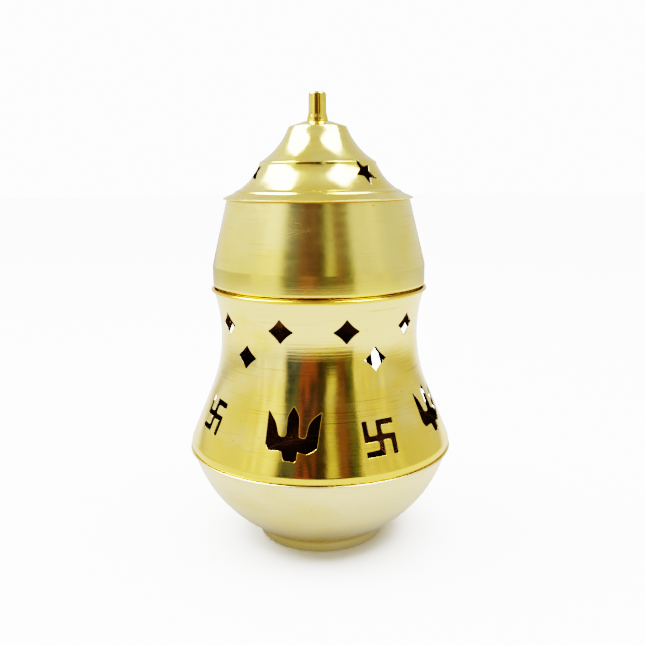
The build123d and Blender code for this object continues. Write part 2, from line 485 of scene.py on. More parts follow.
def hand_wear_group() -> bpy.types.NodeTree:
    """What hands, buffing and years leave on brass, and a painted shade that darkens each piece
    towards the bottom.

    Returns:
        A group with Tone, slow changes of colour, partly random and partly painted shade that runs
        darker below the Shade Below height and lighter above it,
        Haze, dull smears, Dents, the sheet's slight unevenness, and Specks, small dark spots.
    """
    g = GroupMaker(
        "hand_wear",
        {"Size": 30.0, "Seed": 0.0, "Shade Below": 0.0},
        ("Tone", "Haze", "Dents", "Specks"),
    )
    x, y, z = g.split("Object")
    shift = 0.16                # how far height can push the tone either way

    def field_at(stretch: float, tall: float) -> bpy.types.NodeSocket:
        """A place on the piece in units of the patch size.

        Args:
            stretch: how many patches of this kind go into one of the given size.
            tall: how many rows of them go into one column's width.

        Returns:
            The vector to read a noise at.
        """
        across = g.times(stretch / MM, g.math("DIVIDE", 1.0, g.inputs["Size"]))
        sideways = g.math("ADD", g.times(x, across), g.inputs["Seed"])
        return g.vector(sideways, g.times(y, across), g.times(z, g.times(across, tall)))

    # Painted shade: under Shade Below the tone leans to the darker toned colour, over it to the bright
    # one.
    deep = g.math("SUBTRACT", g.inputs["Shade Below"], g.times(z, 1 / MM))
    painted_shade_shift = g.math("MAXIMUM", -shift, g.math("MINIMUM", shift, g.times(deep, 0.006)))
    patchy = g.math("ADD", g.noise(field_at(1.0, 1.4), 3.0), painted_shade_shift)
    g.link(g.spread(patchy, 0.36, 0.66), g.outputs["Tone"])
    g.link(g.spread(g.noise(field_at(1.6, 1.6), 4.0, 0.55), 0.30, 0.80), g.outputs["Haze"])
    g.link(g.noise(field_at(0.9, 0.8), 1.5, 0.4), g.outputs["Dents"])
    g.link(g.spread(g.noise(field_at(22.0, 1.0), 2.0), 0.70, 0.80), g.outputs["Specks"])
    return g.tree


def rubbed_marks_group() -> bpy.types.NodeTree:
    """Short crossing scratches of hand polishing.

    Returns:
        A group with Marks, high along a scratch.
    """
    g = GroupMaker("rubbed_marks", {"Fineness": 1.0}, ("Marks",))
    x, y, z = g.split("Object")
    across = g.times(60.0, g.inputs["Fineness"])
    fine = g.times(z, g.times(1400.0, g.inputs["Fineness"]))
    rubs = [
        g.noise(g.vector(g.times(x, across), g.times(y, across), slant), 2.0)
        for slant in (
            g.math("ADD", fine, g.times(x, 260.0)), g.math("SUBTRACT", fine, g.times(x, 420.0))
        )
    ]
    g.link(g.spread(g.math("MAXIMUM", *rubs), 0.60, 0.78), g.outputs["Marks"])
    return g.tree


# ---------------------------------------------------------------- finishes
@dataclass(frozen=True)
class BrassFinish:
    """One finish of brass.

    Args:
        name: the material's name.
        bright: colour of clean metal.
        toned_and_shaded: colour where it has toned, and the colour of the painted shade below
            shade_below.
        smooth: roughness where it is polished.
        dull: roughness where it is hazy.
        pitch: spacing of the spinning lines, in millimetres.
        line_depth: how strongly the lines show, 0 for none.
        dent_depth: how uneven the sheet is.
        rise: how fast the lines follow height.
        run: how fast the lines follow distance from the axis.
        marks: how strongly the polishing scratches show.
        size: size of the patches of tone, in millimetres.
        seed: shifts the patches.
        soot_and_shade: how much the metal is darkened, 0 to 1, by smoke soot, and on the inner faces
            also by painted shade.
        edge: how far its edges are rounded by wear, in millimetres.
        shade_below: height under which the darker toned colour gains as painted shade, and over which
            it gives way to the bright one.
    """

    name: str
    bright: Colour = (0.86, 0.70, 0.24)
    toned_and_shaded: Colour = (0.78, 0.57, 0.13)
    smooth: float = 0.14
    dull: float = 0.26
    pitch: float = 0.45
    line_depth: float = 0.25
    dent_depth: float = 0.35
    rise: float = 1.0
    run: float = 0.0
    marks: float = 0.15
    size: float = 34.0
    seed: float = 0.0
    soot_and_shade: float = 0.0
    edge: float = 0.4
    shade_below: float = 0.0

    def material(self, groups: dict[str, bpy.types.NodeTree]) -> bpy.types.Material:
        """Builds the material.

        Args:
            groups: the shared shader groups, by name.

        Returns:
            The finished material.
        """
        bench = Paint(self.name)
        shader = bench.shader.inputs
        lines, wear, rubs = (
            bench.node("ShaderNodeGroup", feeds, node_tree=groups[name]).outputs
            for name, feeds in (
                ("lines", {"Pitch": self.pitch, "Rise": self.rise, "Run": self.run}),
                ("wear", {"Size": self.size, "Seed": self.seed, "Shade Below": self.shade_below}),
                ("rubs", {}),
            )
        )
        bench.link(1.0, shader["Metallic"])
        bench.link(self.colour(bench, lines, wear), shader["Base Color"])
        rough = bench.math("MULTIPLY_ADD", wear["Haze"], self.dull - self.smooth, self.smooth)
        rough = bench.math("MULTIPLY_ADD", lines["Streaks"], 0.05, rough)
        rough = bench.math("MULTIPLY_ADD", rubs["Marks"], 0.25 * self.marks, rough)
        bench.link(rough, shader["Roughness"])
        worn = bench.node("ShaderNodeBevel", {"Radius": self.edge * MM}, samples=4)
        uneven = bench.node("ShaderNodeBump", {
            "Normal": worn.outputs["Normal"], "Height": wear["Dents"],
            "Strength": self.dent_depth, "Distance": 2.0 * MM,
        })
        scored = bench.node("ShaderNodeBump", {
            "Normal": uneven.outputs["Normal"], "Strength": self.line_depth, "Distance": 0.05 * MM,
            "Height": bench.math("MULTIPLY_ADD", rubs["Marks"], -self.marks, lines["Height"]),
        })
        bench.link(scored.outputs["Normal"], shader["Normal"])
        return bench.made

    def colour(
        self,
        bench: NodeBench,
        lines: bpy.types.NodeOutputs,
        wear: bpy.types.NodeOutputs,
    ) -> bpy.types.NodeSocket:
        """The metal's colour: its tone, under tarnish and soot, which on the inner faces is partly
        painted shade.

        Args:
            bench: where the nodes go.
            lines: outputs of the spinning lines.
            wear: outputs of the hand wear.

        Returns:
            The colour.
        """
        tone = bench.mix(wear["Tone"], opaque(self.bright), opaque(self.toned_and_shaded))
        tarnish = bench.math(
            "MAXIMUM", wear["Specks"], bench.times(lines["Hairlines"], 1.6 * self.line_depth)
        )
        stain = bench.mix(tarnish, opaque(WHITE), opaque(TARNISH))
        # Soot darkening, which on the inner faces is partly painted shade.
        thick = tuple(1.0 - self.soot_and_shade * part for part in SOOT_AND_SHADE_TINT)
        thin = tuple(0.55 * shade + 0.45 for shade in thick)
        soot_and_shade = bench.mix(wear["Haze"], opaque(thin), opaque(thick))
        return bench.mix(1.0, bench.mix(1.0, tone, stain, "MULTIPLY"), soot_and_shade, "MULTIPLY")


class Finish(Enum):
    """The finishes of the burner's brass."""

    COVER = BrassFinish(
        "cover_brass", bright=(0.90, 0.70, 0.27), toned_and_shaded=(0.86, 0.59, 0.12), smooth=0.06, dull=0.14,
        line_depth=0.60, dent_depth=0.55, size=34.0, seed=3.0, shade_below=84.0,
    )
    BOWL = BrassFinish(
        "bowl_brass", bright=(0.88, 0.73, 0.36), toned_and_shaded=(0.84, 0.66, 0.26), smooth=0.20, dull=0.30,
        line_depth=0.3, rise=0.8, run=0.6, seed=7.0, shade_below=18.0,
    )
    COLLAR = BrassFinish(
        "collar_brass", bright=(0.87, 0.70, 0.25), toned_and_shaded=(0.83, 0.63, 0.17), smooth=0.17, dull=0.25,
        line_depth=0.35, seed=11.0, shade_below=128.0,
    )
    LID = BrassFinish(
        "lid_brass", bright=(0.88, 0.70, 0.24), toned_and_shaded=(0.84, 0.62, 0.15), smooth=0.09, dull=0.20,
        pitch=0.6, line_depth=0.3, dent_depth=0.9, rise=0.7, run=-0.7, size=22.0, seed=17.0,
        shade_below=170.0,
    )
    WIRE = BrassFinish(
        "wire_brass", bright=(0.86, 0.62, 0.13), toned_and_shaded=(0.78, 0.50, 0.07), smooth=0.10, dull=0.18,
        line_depth=0.1, dent_depth=0.2, size=20.0, seed=23.0, shade_below=117.0,
    )
    KNOB = BrassFinish(
        "knob_brass", bright=(0.88, 0.64, 0.19), toned_and_shaded=(0.80, 0.52, 0.10), smooth=0.07, dull=0.13,
        pitch=0.3, line_depth=0.15, dent_depth=0.1, size=12.0, seed=29.0, shade_below=198.0,
    )
    STRIP = BrassFinish(
        "strip_brass", bright=(0.80, 0.64, 0.22), toned_and_shaded=(0.70, 0.50, 0.13), smooth=0.26, dull=0.40,
        line_depth=0.3, seed=31.0,
    )
    CUT = BrassFinish(
        "cut_edge_brass", bright=(0.94, 0.86, 0.56), toned_and_shaded=(0.88, 0.76, 0.38), smooth=0.30,
        dull=0.34, pitch=0.2, line_depth=0.4, dent_depth=0.1, size=6.0, seed=37.0, shade_below=60.0,
    )
    # Inner faces: dark brown, partly real soot from the incense and partly painted shade of the dim
    # inside.
    SOOTY_SHADED_INSIDE = BrassFinish(
        "sooty_inside_painted_shade", bright=(0.54, 0.31, 0.10), toned_and_shaded=(0.28, 0.14, 0.05), smooth=0.20, dull=0.40,
        line_depth=0.3, seed=41.0, soot_and_shade=0.35, shade_below=90.0,
    )
    CUP = BrassFinish(
        "cup_brass", bright=(0.62, 0.38, 0.12), toned_and_shaded=(0.40, 0.20, 0.07), smooth=0.22, dull=0.44,
        line_depth=0.3, seed=43.0, soot_and_shade=0.4, shade_below=16.0,
    )


class Palette:
    """Builds each finish's material once, on shared shader groups."""

    def __init__(self) -> None:
        """Builds the shared groups."""
        self.groups = {
            "lines": spinning_lines_group(),
            "wear": hand_wear_group(),
            "rubs": rubbed_marks_group(),
        }
        self.made: dict[Finish, bpy.types.Material] = {}

    def __getitem__(self, finish: Finish) -> bpy.types.Material:
        """The material of a finish.

        Args:
            finish: the finish.

        Returns:
            Its material, built the first time that it is asked for.
        """
        if finish not in self.made:
            self.made[finish] = finish.value.material(self.groups)
        return self.made[finish]


# ---------------------------------------------------------------- openings
@dataclass(frozen=True)
class Opening:
    """A punched opening: its outline, and where its centre lies on the wall.

    Args:
        outline: corners of the opening, in its own plane.
        angle: angle round the axis.
        radius: distance of the centre from the axis.
        height: height of the centre.
        lean: how far the wall's outward normal leans up from level.
        tilt: turn of the opening in its plane.
    """

    outline: tuple[Corner, ...]
    angle: float
    radius: float
    height: float
    lean: float
    tilt: float = 0.0

    def place(self) -> Matrix:
        """Where the opening is.

        Returns:
            Matrix from its plane to the wall: x to the right, y up, z outwards.
        """
        return (
            Matrix.Rotation(radians(self.angle), 4, "Z")
            @ Matrix.Translation((0.0, -self.radius, self.height))
            @ Matrix.Rotation(radians(90.0 - self.lean), 4, "X")
            @ Matrix.Rotation(radians(self.tilt), 4, "Z")
        )

    def punch(self, depth: float) -> bmesh.types.BMesh:
        """The punch that makes the opening: a prism through the wall.

        Args:
            depth: how far it reaches on each side of the centre.

        Returns:
            The closed prism, in its place.
        """
        bm = bmesh.new()
        draw_loop(bm, self.outline)
        face = bmesh.ops.contextual_create(bm, geom=bm.edges)["faces"]
        bmesh.ops.translate(bm, vec=(0, 0, -depth), verts=bm.verts)
        grown = bmesh.ops.extrude_face_region(bm, geom=face)["geom"]
        bmesh.ops.translate(bm, vec=(0, 0, 2 * depth), verts=verts_of(grown))
        bmesh.ops.transform(bm, matrix=self.place(), verts=bm.verts)
        bmesh.ops.recalc_face_normals(bm, faces=bm.faces)
        return bm


class HandCut:
    """Outlines of the openings, each a little uneven as a hand-filed one is."""

    def __init__(self, seed: int, play: float = 0.16) -> None:
        """Sets up the unevenness.

        Args:
            seed: seed of the random draws.
            play: largest shift of a corner.
        """
        self.draws = random.Random(seed)
        self.play = play

    def uneven(self, corners: Sequence[Corner]) -> tuple[Corner, ...]:
        """Makes an outline uneven.

        Args:
            corners: the even outline.

        Returns:
            The outline with each corner shifted a little.
        """
        return tuple(
            Corner(
                corner.x + self.draws.uniform(-self.play, self.play),
                corner.y + self.draws.uniform(-self.play, self.play),
                corner.round,
            )
            for corner in corners
        )

    def diamond(self, width: float, height: float) -> tuple[Corner, ...]:
        """A lozenge with slightly hollow sides.

        Args:
            width: distance between its side tips.
            height: distance between its upper and lower tips.

        Returns:
            Its uneven outline.
        """
        hollow, bend = 0.44, 14.0
        tips = [(width / 2, 0), (0, height / 2), (-width / 2, 0), (0, -height / 2)]
        corners = []
        for (x, y), (next_x, next_y) in zip(tips, tips[1:] + tips[:1]):
            corners.append(Corner(x, y, 0.2))
            corners.append(Corner((x + next_x) * hollow, (y + next_y) * hollow, bend))
        return self.uneven(corners)

    def swastika(self, span: float, stroke: float) -> tuple[Corner, ...]:
        """The right-turning Hindu sign of good fortune: one arm's corners, four times round.

        Args:
            span: its full width and height.
            stroke: width of its arms.

        Returns:
            Its uneven outline.
        """
        half, side = span / 2, stroke / 2
        arm = corners_of(
            (-side, side, 0.9), (-side, half, 0.5), (half, half, 0.35),
            (half, half - stroke, 0.35), (side, half - stroke, 0.9),
        )
        corners = []
        for quarter in range(4):
            turn = Matrix.Rotation(-quarter * pi / 2, 4, "Z")
            for corner in arm:
                spot = turn @ corner.place
                corners.append(Corner(spot.x, spot.y, corner.round))
        return self.uneven(corners)

    def trishul(self) -> tuple[Corner, ...]:
        """A trident 23 wide and 23 high: spear-shaped middle prong, two horns, a short stem.

        Returns:
            Its uneven outline.
        """
        return self.uneven(corners_of(
            (2.5, -11.4, 1.2), (2.6, -7.4, 0.5), (6.6, -8.2, 2.0), (10.5, -5.6, 2.5),
            (11.5, 9.4, 0.15), (6.7, 5.4, 7.0), (5.6, -1.6, 1.3), (2.9, -1.6, 1.2),
            (2.3, 7.4, 5.0), (0.0, 11.4, 0.3), (-2.5, 7.4, 5.0), (-2.8, -1.4, 1.2),
            (-5.7, -1.2, 1.4), (-7.3, 4.6, 6.0), (-10.9, 9.8, 0.3), (-11.4, -4.6, 2.0),
            (-9.6, -7.2, 1.6), (-4.2, -7.0, 1.2), (-2.8, -11.2, 1.3),
        ))

    def star(self, tips: Sequence[float], notch: float) -> tuple[Corner, ...]:
        """A star whose first point is up.

        Args:
            tips: distance of each point from the centre.
            notch: distance of the corners between the points.

        Returns:
            Its uneven outline.
        """
        corners = []
        for index, tip in enumerate(tips):
            angle = pi / 2 + 2 * pi * index / len(tips)
            corners.append(Corner(tip * cos(angle), tip * sin(angle), 0.12))
            angle += pi / len(tips)
            corners.append(Corner(notch * cos(angle), notch * sin(angle), 0.5))
        return self.uneven(corners)


# ---------------------------------------------------------------- pieces
@dataclass
class SubAssembly:
    """Pieces that lift off together.

    Args:
        palette: the materials.
        body: the CAD body that the pieces ride on.
    """

    palette: Palette
    body: str = ""

    def turned(
        self,
        name: str,
        corners: Sequence[Corner],
        finish: Finish,
        closed: bool = False,
        steps: int = TURN_STEPS,
        cutter: Optional[bpy.types.Object] = None,
    ) -> bpy.types.Object:
        """A solid turned from a section.

        Args:
            name: the piece's name.
            corners: the section.
            finish: the finish of all its faces.
            closed: whether the section is a closed loop away from the axis.
            steps: number of faces round the piece.
            cutter: a closed shape that is cut out of it.

        Returns:
            The piece, finished.
        """
        bm = bmesh.new()
        draw = draw_loop if closed else draw_line
        draw(bm, corners)
        spin_round(bm, steps)
        piece = object_from(bm, name)
        piece.data.materials.append(self.palette[finish])
        if cutter:
            cut_with(piece, cutter)
        finish_mesh(piece)
        return piece

    def spun_sheet(
        self,
        name: str,
        corners: Sequence[Corner],
        outside: Finish,
        inside: Finish,
        openings: Sequence[Opening] = (),
        depth: float = 4.0,
        thickness: float = SHEET,
    ) -> bpy.types.Object:
        """A shell spun from sheet, given its outer face, with openings punched through it.

        Args:
            name: the piece's name.
            corners: the section of the outer face.
            outside: finish of the outer face.
            inside: finish of the inner face.
            openings: what is punched through.
            depth: how far the punches reach.
            thickness: the sheet's thickness.

        Returns:
            The piece, finished.
        """
        bm = bmesh.new()
        draw_line(bm, corners)
        spin_round(bm)
        shell = object_from(bm, name)
        for finish in (outside, inside, Finish.CUT):
            shell.data.materials.append(self.palette[finish])
        wall = shell.modifiers.new("wall", "SOLIDIFY")
        wall.thickness = thickness
        wall.offset = -1.0
        wall.use_even_offset = True
        wall.use_quality_normals = True
        wall.material_offset = 1
        wall.material_offset_rim = 0
        if openings:
            cut_with(shell, self.punch_tool(openings, depth))
        finish_mesh(shell)
        return shell

    def punch_tool(self, openings: Sequence[Opening], depth: float) -> bpy.types.Object:
        """A throwaway tool with a punch for each opening, in the finish of a cut edge.

        Args:
            openings: what is punched.
            depth: how far each punch reaches on each side of its centre.

        Returns:
            The tool.
        """
        joined = bmesh.new()
        for opening in openings:
            punch = object_from(opening.punch(depth), "punch")
            joined.from_mesh(punch.data)
            bpy.data.objects.remove(punch)
        tool = object_from(joined, "punches")
        tool.data.materials.append(self.palette[Finish.CUT])
        return tool

    def strip_ring(self, name: str, node: str) -> None:
        """Rolls a ring from strip, as high and as wide as its CAD node, and seats it.

        Args:
            name: the piece's name.
            node: the node that it stands for.
        """
        low, high, radius = node_span(node)
        inner, soft = radius - SHEET, SHEET / 4
        section = corners_of(
            (inner, low, soft), (radius, low, soft), (radius, high, soft), (inner, high, soft)
        )
        self.fit(self.turned(name, section, Finish.STRIP, closed=True), node, "strip_brass")

    def fit(self, piece: bpy.types.Object, node: str, slot: str) -> None:
        """Seats a piece in the frame, in place of a CAD node.

        Args:
            piece: the finished piece.
            node: the node that it stands for.
            slot: not used.
        """
        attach(piece, self.body)
        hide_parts(node)
        log.info("%s rides on %s, %d faces", piece.name, self.body, len(piece.data.polygons))


def node_span(node: str) -> tuple[float, float, float]:
    """Measures a round CAD node.

    Args:
        node: the node's name.

    Returns:
        Its lowest height, highest height and largest radius, in millimetres.
    """
    low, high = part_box(node)
    radius = min(high.x, high.y, -low.x, -low.y)
    return low.z / MM, high.z / MM, radius / MM


def round_section(x: float, y: float, radius: float) -> list[Corner]:
    """A circle, as the four fully rounded corners of its square.

    Args:
        x: the centre's distance from the axis.
        y: the centre's height.
        radius: the circle's radius.

    Returns:
        Its four corners.
    """
    return [
        Corner(x + across * radius, y + up * radius, radius)
        for across, up in ((1, 1), (-1, 1), (-1, -1), (1, -1))
    ]


@dataclass
class Bowl(SubAssembly):
    """The footed bowl and the ring that centres the cover on it."""

    body: str = "base"
    foot_radius: float = 29.0
    neck_radius: float = 29.6
    neck_height: float = 5.0
    side_corner: tuple[float, float] = (52.35, 21.1)
    side_bend: float = 58.0
    mouth_radius: float = 60.0
    hem: float = 0.44           # sheet of the bowl, folded double at its lip
    spare: float = 0.05         # how far the lip stays inside the CAD lip
    lip_round: float = 0.46

    def build(self) -> None:
        """Builds the bowl and its ring."""
        low, high, lip = node_span("base_bowl")
        lip -= self.spare
        under_lip = high - 2.2 * self.hem
        bowl = self.spun_sheet(
            "bowl",
            corners_of(
                (0.0, low),
                (self.foot_radius, low, 1.8),
                (self.neck_radius, self.neck_height, 3.0),
                (*self.side_corner, self.side_bend),
                (self.mouth_radius - 0.2, under_lip, 0.5),
                (lip, under_lip, self.lip_round),
                (lip, high, self.lip_round),
                (self.mouth_radius - 0.9, high),
            ),
            Finish.BOWL,
            Finish.SOOTY_SHADED_INSIDE,
            thickness=self.hem,
        )
        self.fit(bowl, "base_bowl", "spun_brass")
        self.strip_ring("bowl_ring", "bowl_locating_ring")


@dataclass
class EmberCup(SubAssembly):
    """The loose cup that holds the embers."""

    body: str = "cup"
    foot_radius: float = 21.0
    rim_radius: float = 29.5
    rim_height: float = 32.5
    air_holes: int = 12
    air_hole_radius: float = 2.0
    air_hole_height: float = 9.0

    def build(self) -> None:
        """Builds the cup with its flange and air holes."""
        low, high, flange = node_span("ember_cup")
        slope = (self.rim_radius - self.foot_radius) / (self.rim_height - low)
        lean = -degrees(atan(slope))
        wall = self.foot_radius + slope * (self.air_hole_height - low)
        hole = tuple(round_section(0.0, 0.0, self.air_hole_radius))
        holes = [
            Opening(hole, 90.0 + 360.0 * index / self.air_holes, wall, self.air_hole_height, lean)
            for index in range(self.air_holes)
        ]
        cup = self.spun_sheet(
            "ember_cup_shell",
            corners_of(
                (0.0, low),
                (self.foot_radius, low, 4.0),
                (self.rim_radius, self.rim_height, 1.5),
                (flange - 0.1, self.rim_height + 0.4),
            ),
            Finish.CUP,
            Finish.SOOTY_SHADED_INSIDE,
            holes,
            depth=3.0,
        )
        self.fit(cup, "ember_cup", "cup_brass")


@dataclass
class WaistCover(SubAssembly):
    """The waisted cover with its punched openings, and the wire round its mouth.

    A sign's place is its angle, its lift over the row and its tilt. A row of diamonds has the
    wall's radius, height and lean.
    """

    body: str = "cover"
    seam_radius: float = 60.0
    belly: tuple[float, float] = (60.55, 47.1)
    waist: tuple[float, float] = (41.2, 93.2)
    waist_bend: float = 66.0
    mouth_radius: float = 48.1
    sign_height: float = 61.0
    trishul_height: float = 64.0
    diamond_rows: tuple[tuple[float, float, float], ...] = ((45.3, 104.6, 0.0), (45.6, 92.0, 5.0))
    sign_span: float = 14.9
    sign_stroke: float = 2.4
    diamond_size: tuple[float, float] = (11.3, 10.6)
    swastikas: tuple[tuple[float, float, float], ...] = (
        (-60.5, 3.5, -3.0), (27.2, 0.0, 0.0), (105.0, 1.0, 2.0), (195.0, 0.0, -3.0),
    )
    trishuls: tuple[tuple[float, float, float], ...] = (
        (-12.4, 0.0, 0.0), (67.1, 1.8, -2.0), (143.7, 6.0, 0.0), (247.0, 1.0, 2.0),
    )
    upper_diamonds: tuple[float, ...] = (
        -59.3, -20.9, 14.4, 54.6, 91.0, 128.0, 163.0, 199.0, 232.0, 267.0,
    )
    lower_diamonds: tuple[float, ...] = (-43.1, 31.3, 111.0, 181.0, 250.0)

    @property
    def slope(self) -> float:
        """How fast the lower wall draws in, for each millimetre up."""
        return (self.belly[0] - self.waist[0]) / (self.waist[1] - self.belly[1])

    def wall_radius(self, height: float) -> float:
        """Outer radius of the straight lower wall at a height."""
        return self.belly[0] - self.slope * (height - self.belly[1])

    def openings(self) -> list[Opening]:
        """Lays out the openings.

        Returns:
            Every opening, in its place.
        """
        hand = HandCut(seed=8)
        lean = degrees(atan(self.slope))
        made = []
        for angle, lift, tilt in self.swastikas:
            sign = hand.swastika(self.sign_span, self.sign_stroke)
            z = self.sign_height + lift
            made.append(Opening(sign, angle, self.wall_radius(z), z, lean, tilt))
        for angle, lift, tilt in self.trishuls:
            z = self.trishul_height + lift
            made.append(Opening(hand.trishul(), angle, self.wall_radius(z), z, lean, tilt))
        for row, angles in zip(self.diamond_rows, (self.upper_diamonds, self.lower_diamonds)):
            for angle in angles:
                made.append(Opening(hand.diamond(*self.diamond_size), angle, *row))
        return made

    def build(self) -> None:
        """Builds the cover and its wire."""
        low, high, _ = node_span("waist_cover")
        cover = self.spun_sheet(
            "cover",
            corners_of(
                (self.seam_radius, low),
                (*self.belly, 5.0),
                (*self.waist, self.waist_bend),
                (self.mouth_radius, high),
            ),
            Finish.COVER,
            Finish.SOOTY_SHADED_INSIDE,
            self.openings(),
            depth=4.5,
        )
        self.fit(cover, "waist_cover", "spun_brass")
        low, high, radius = node_span("mouth_ring")
        gauge = (high - low) / 2
        wire = self.turned(
            "mouth_wire",
            round_section(radius - gauge, (low + high) / 2, gauge),
            Finish.WIRE,
            closed=True,
        )
        self.fit(wire, "mouth_ring", "wire_brass")


@dataclass
class Collar(SubAssembly):
    """The plain band between the cover and the lid."""

    body: str = "collar"
    spigot_radius: float = 46.05
    band_radius: float = 48.2
    crease_height: float = 128.2
    top_radius: float = 41.1

    def build(self) -> None:
        """Builds the band and its spigot."""
        low, high, _ = node_span("collar_band")
        band = self.spun_sheet(
            "collar_shell",
            corners_of(
                (self.spigot_radius, low),
                (self.band_radius, low, 2.0),
                (self.band_radius, self.crease_height, 0.8),
                (self.top_radius, high),
            ),
            Finish.COLLAR,
            Finish.SOOTY_SHADED_INSIDE,
        )
        self.fit(band, "collar_band", "spun_brass")
        self.strip_ring("collar_ring", "collar_spigot")


@dataclass
class Lid(SubAssembly):
    """The stepped lid, its spigot, and the knob with its fixing."""

    body: str = "lid"
    brim_height: float = 157.8
    ledge: tuple[float, float] = (26.3, 173.3)
    shoulder: tuple[float, float] = (12.9, 188.8)
    bore_radius: float = 1.8
    star_angles: tuple[float, ...] = (45.3, 165.3, 285.3)
    star_place: tuple[float, float, float] = (28.4, 168.8, 33.0)
    star_tips: tuple[float, ...] = (7.5, 5.9, 6.9, 7.5, 5.6)
    star_notch: float = 2.8
    star_tilt: float = 26.0
    pin_radius: float = 4.0
    thread_radius: float = 1.5
    thread_depth: float = 8.0
    slot_width: float = 0.8

    def build(self) -> None:
        """Builds the dome, spigot, knob, washer and screw."""
        _, top, brim = node_span("lid_dome")
        hand = HandCut(seed=21, play=0.1)
        stars = [
            Opening(
                hand.star(self.star_tips, self.star_notch), angle, *self.star_place, self.star_tilt
            )
            for angle in self.star_angles
        ]
        dome = self.spun_sheet(
            "lid_shell",
            corners_of(
                (brim, self.brim_height),
                (37.6, self.brim_height + 2.35, 1.0),
                (37.2, self.brim_height + 3.0, 0.7),
                (34.9, self.brim_height + 4.0, 0.9),
                (30.0, 165.6, 27.0),
                (self.ledge[0], self.ledge[1] - 1.1, 0.6),
                (self.ledge[0] - 0.05, self.ledge[1], 0.62),
                (17.5, 178.9, 30.0),
                (*self.shoulder, 0.8),
                (5.4, top, 1.0),
                (self.bore_radius, top),
            ),
            Finish.LID,
            Finish.SOOTY_SHADED_INSIDE,
            stars,
        )
        self.fit(dome, "lid_dome", "spun_brass")
        self.strip_ring("lid_ring", "lid_spigot")
        self.build_knob()

    def build_knob(self) -> None:
        """Builds the knob, its washer and its screw."""
        low, high, foot = node_span("knob")
        pin, thread = self.pin_radius, self.thread_radius
        knob = self.turned(
            "knob_pin",
            corners_of(
                (0.0, low + self.thread_depth), (thread, low + self.thread_depth, 0.2),
                (thread, low, 0.15), (foot, low, 0.2), (foot - 0.05, low + 1.1, 0.9),
                (pin + 0.15, low + 3.2, 6.0), (pin, high - 0.12, 1.5), (0.0, high),
            ),
            Finish.KNOB,
        )
        self.fit(knob, "knob", "turned_brass")
        seat, high, radius = node_span("knob_washer")
        hole = thread + 0.2
        washer = self.turned(
            "washer",
            corners_of((hole, seat, 0.1), (radius, seat, 0.2), (radius, high, 0.2), (hole, high, 0.1)),
            Finish.STRIP,
            closed=True,
        )
        self.fit(washer, "knob_washer", "turned_brass")
        low, high, head = node_span("knob_screw")
        shank = thread - 0.05
        blade = bmesh.new()
        bmesh.ops.create_cube(blade, size=1.0)
        bmesh.ops.scale(blade, vec=(2.4 * head, self.slot_width, 1.8), verts=blade.verts)
        bmesh.ops.translate(blade, vec=(0, 0, low), verts=blade.verts)
        screw = self.turned(
            "screw",
            corners_of(
                (0.0, low), (head, low, 0.9), (head, seat, 0.15), (shank, seat, 0.1),
                (shank, high, 0.4), (0.0, high),
            ),
            Finish.KNOB,
            steps=96,
            cutter=object_from(blade, "slot_blade"),
        )
        self.fit(screw, "knob_screw", "turned_brass")


# ---------------------------------------------------------------- studio
@dataclass(frozen=True)
class Card:
    """An upright board of coloured cloth that stands in the studio for the brass to mirror.

    Args:
        name: the card's name.
        start: bearing of its left edge, in degrees from the front towards +X.
        end: bearing of its right edge.
        low: height of its lower edge, in metres.
        high: height of its upper edge.
        colour: what it shows.
        weave: a second colour that runs through it in folds.
        laid: how far its cloth runs on along the floor towards the object, in metres.
    """

    name: str
    start: float
    end: float
    low: float
    high: float
    colour: Colour
    weave: Colour
    laid: float = 0.0


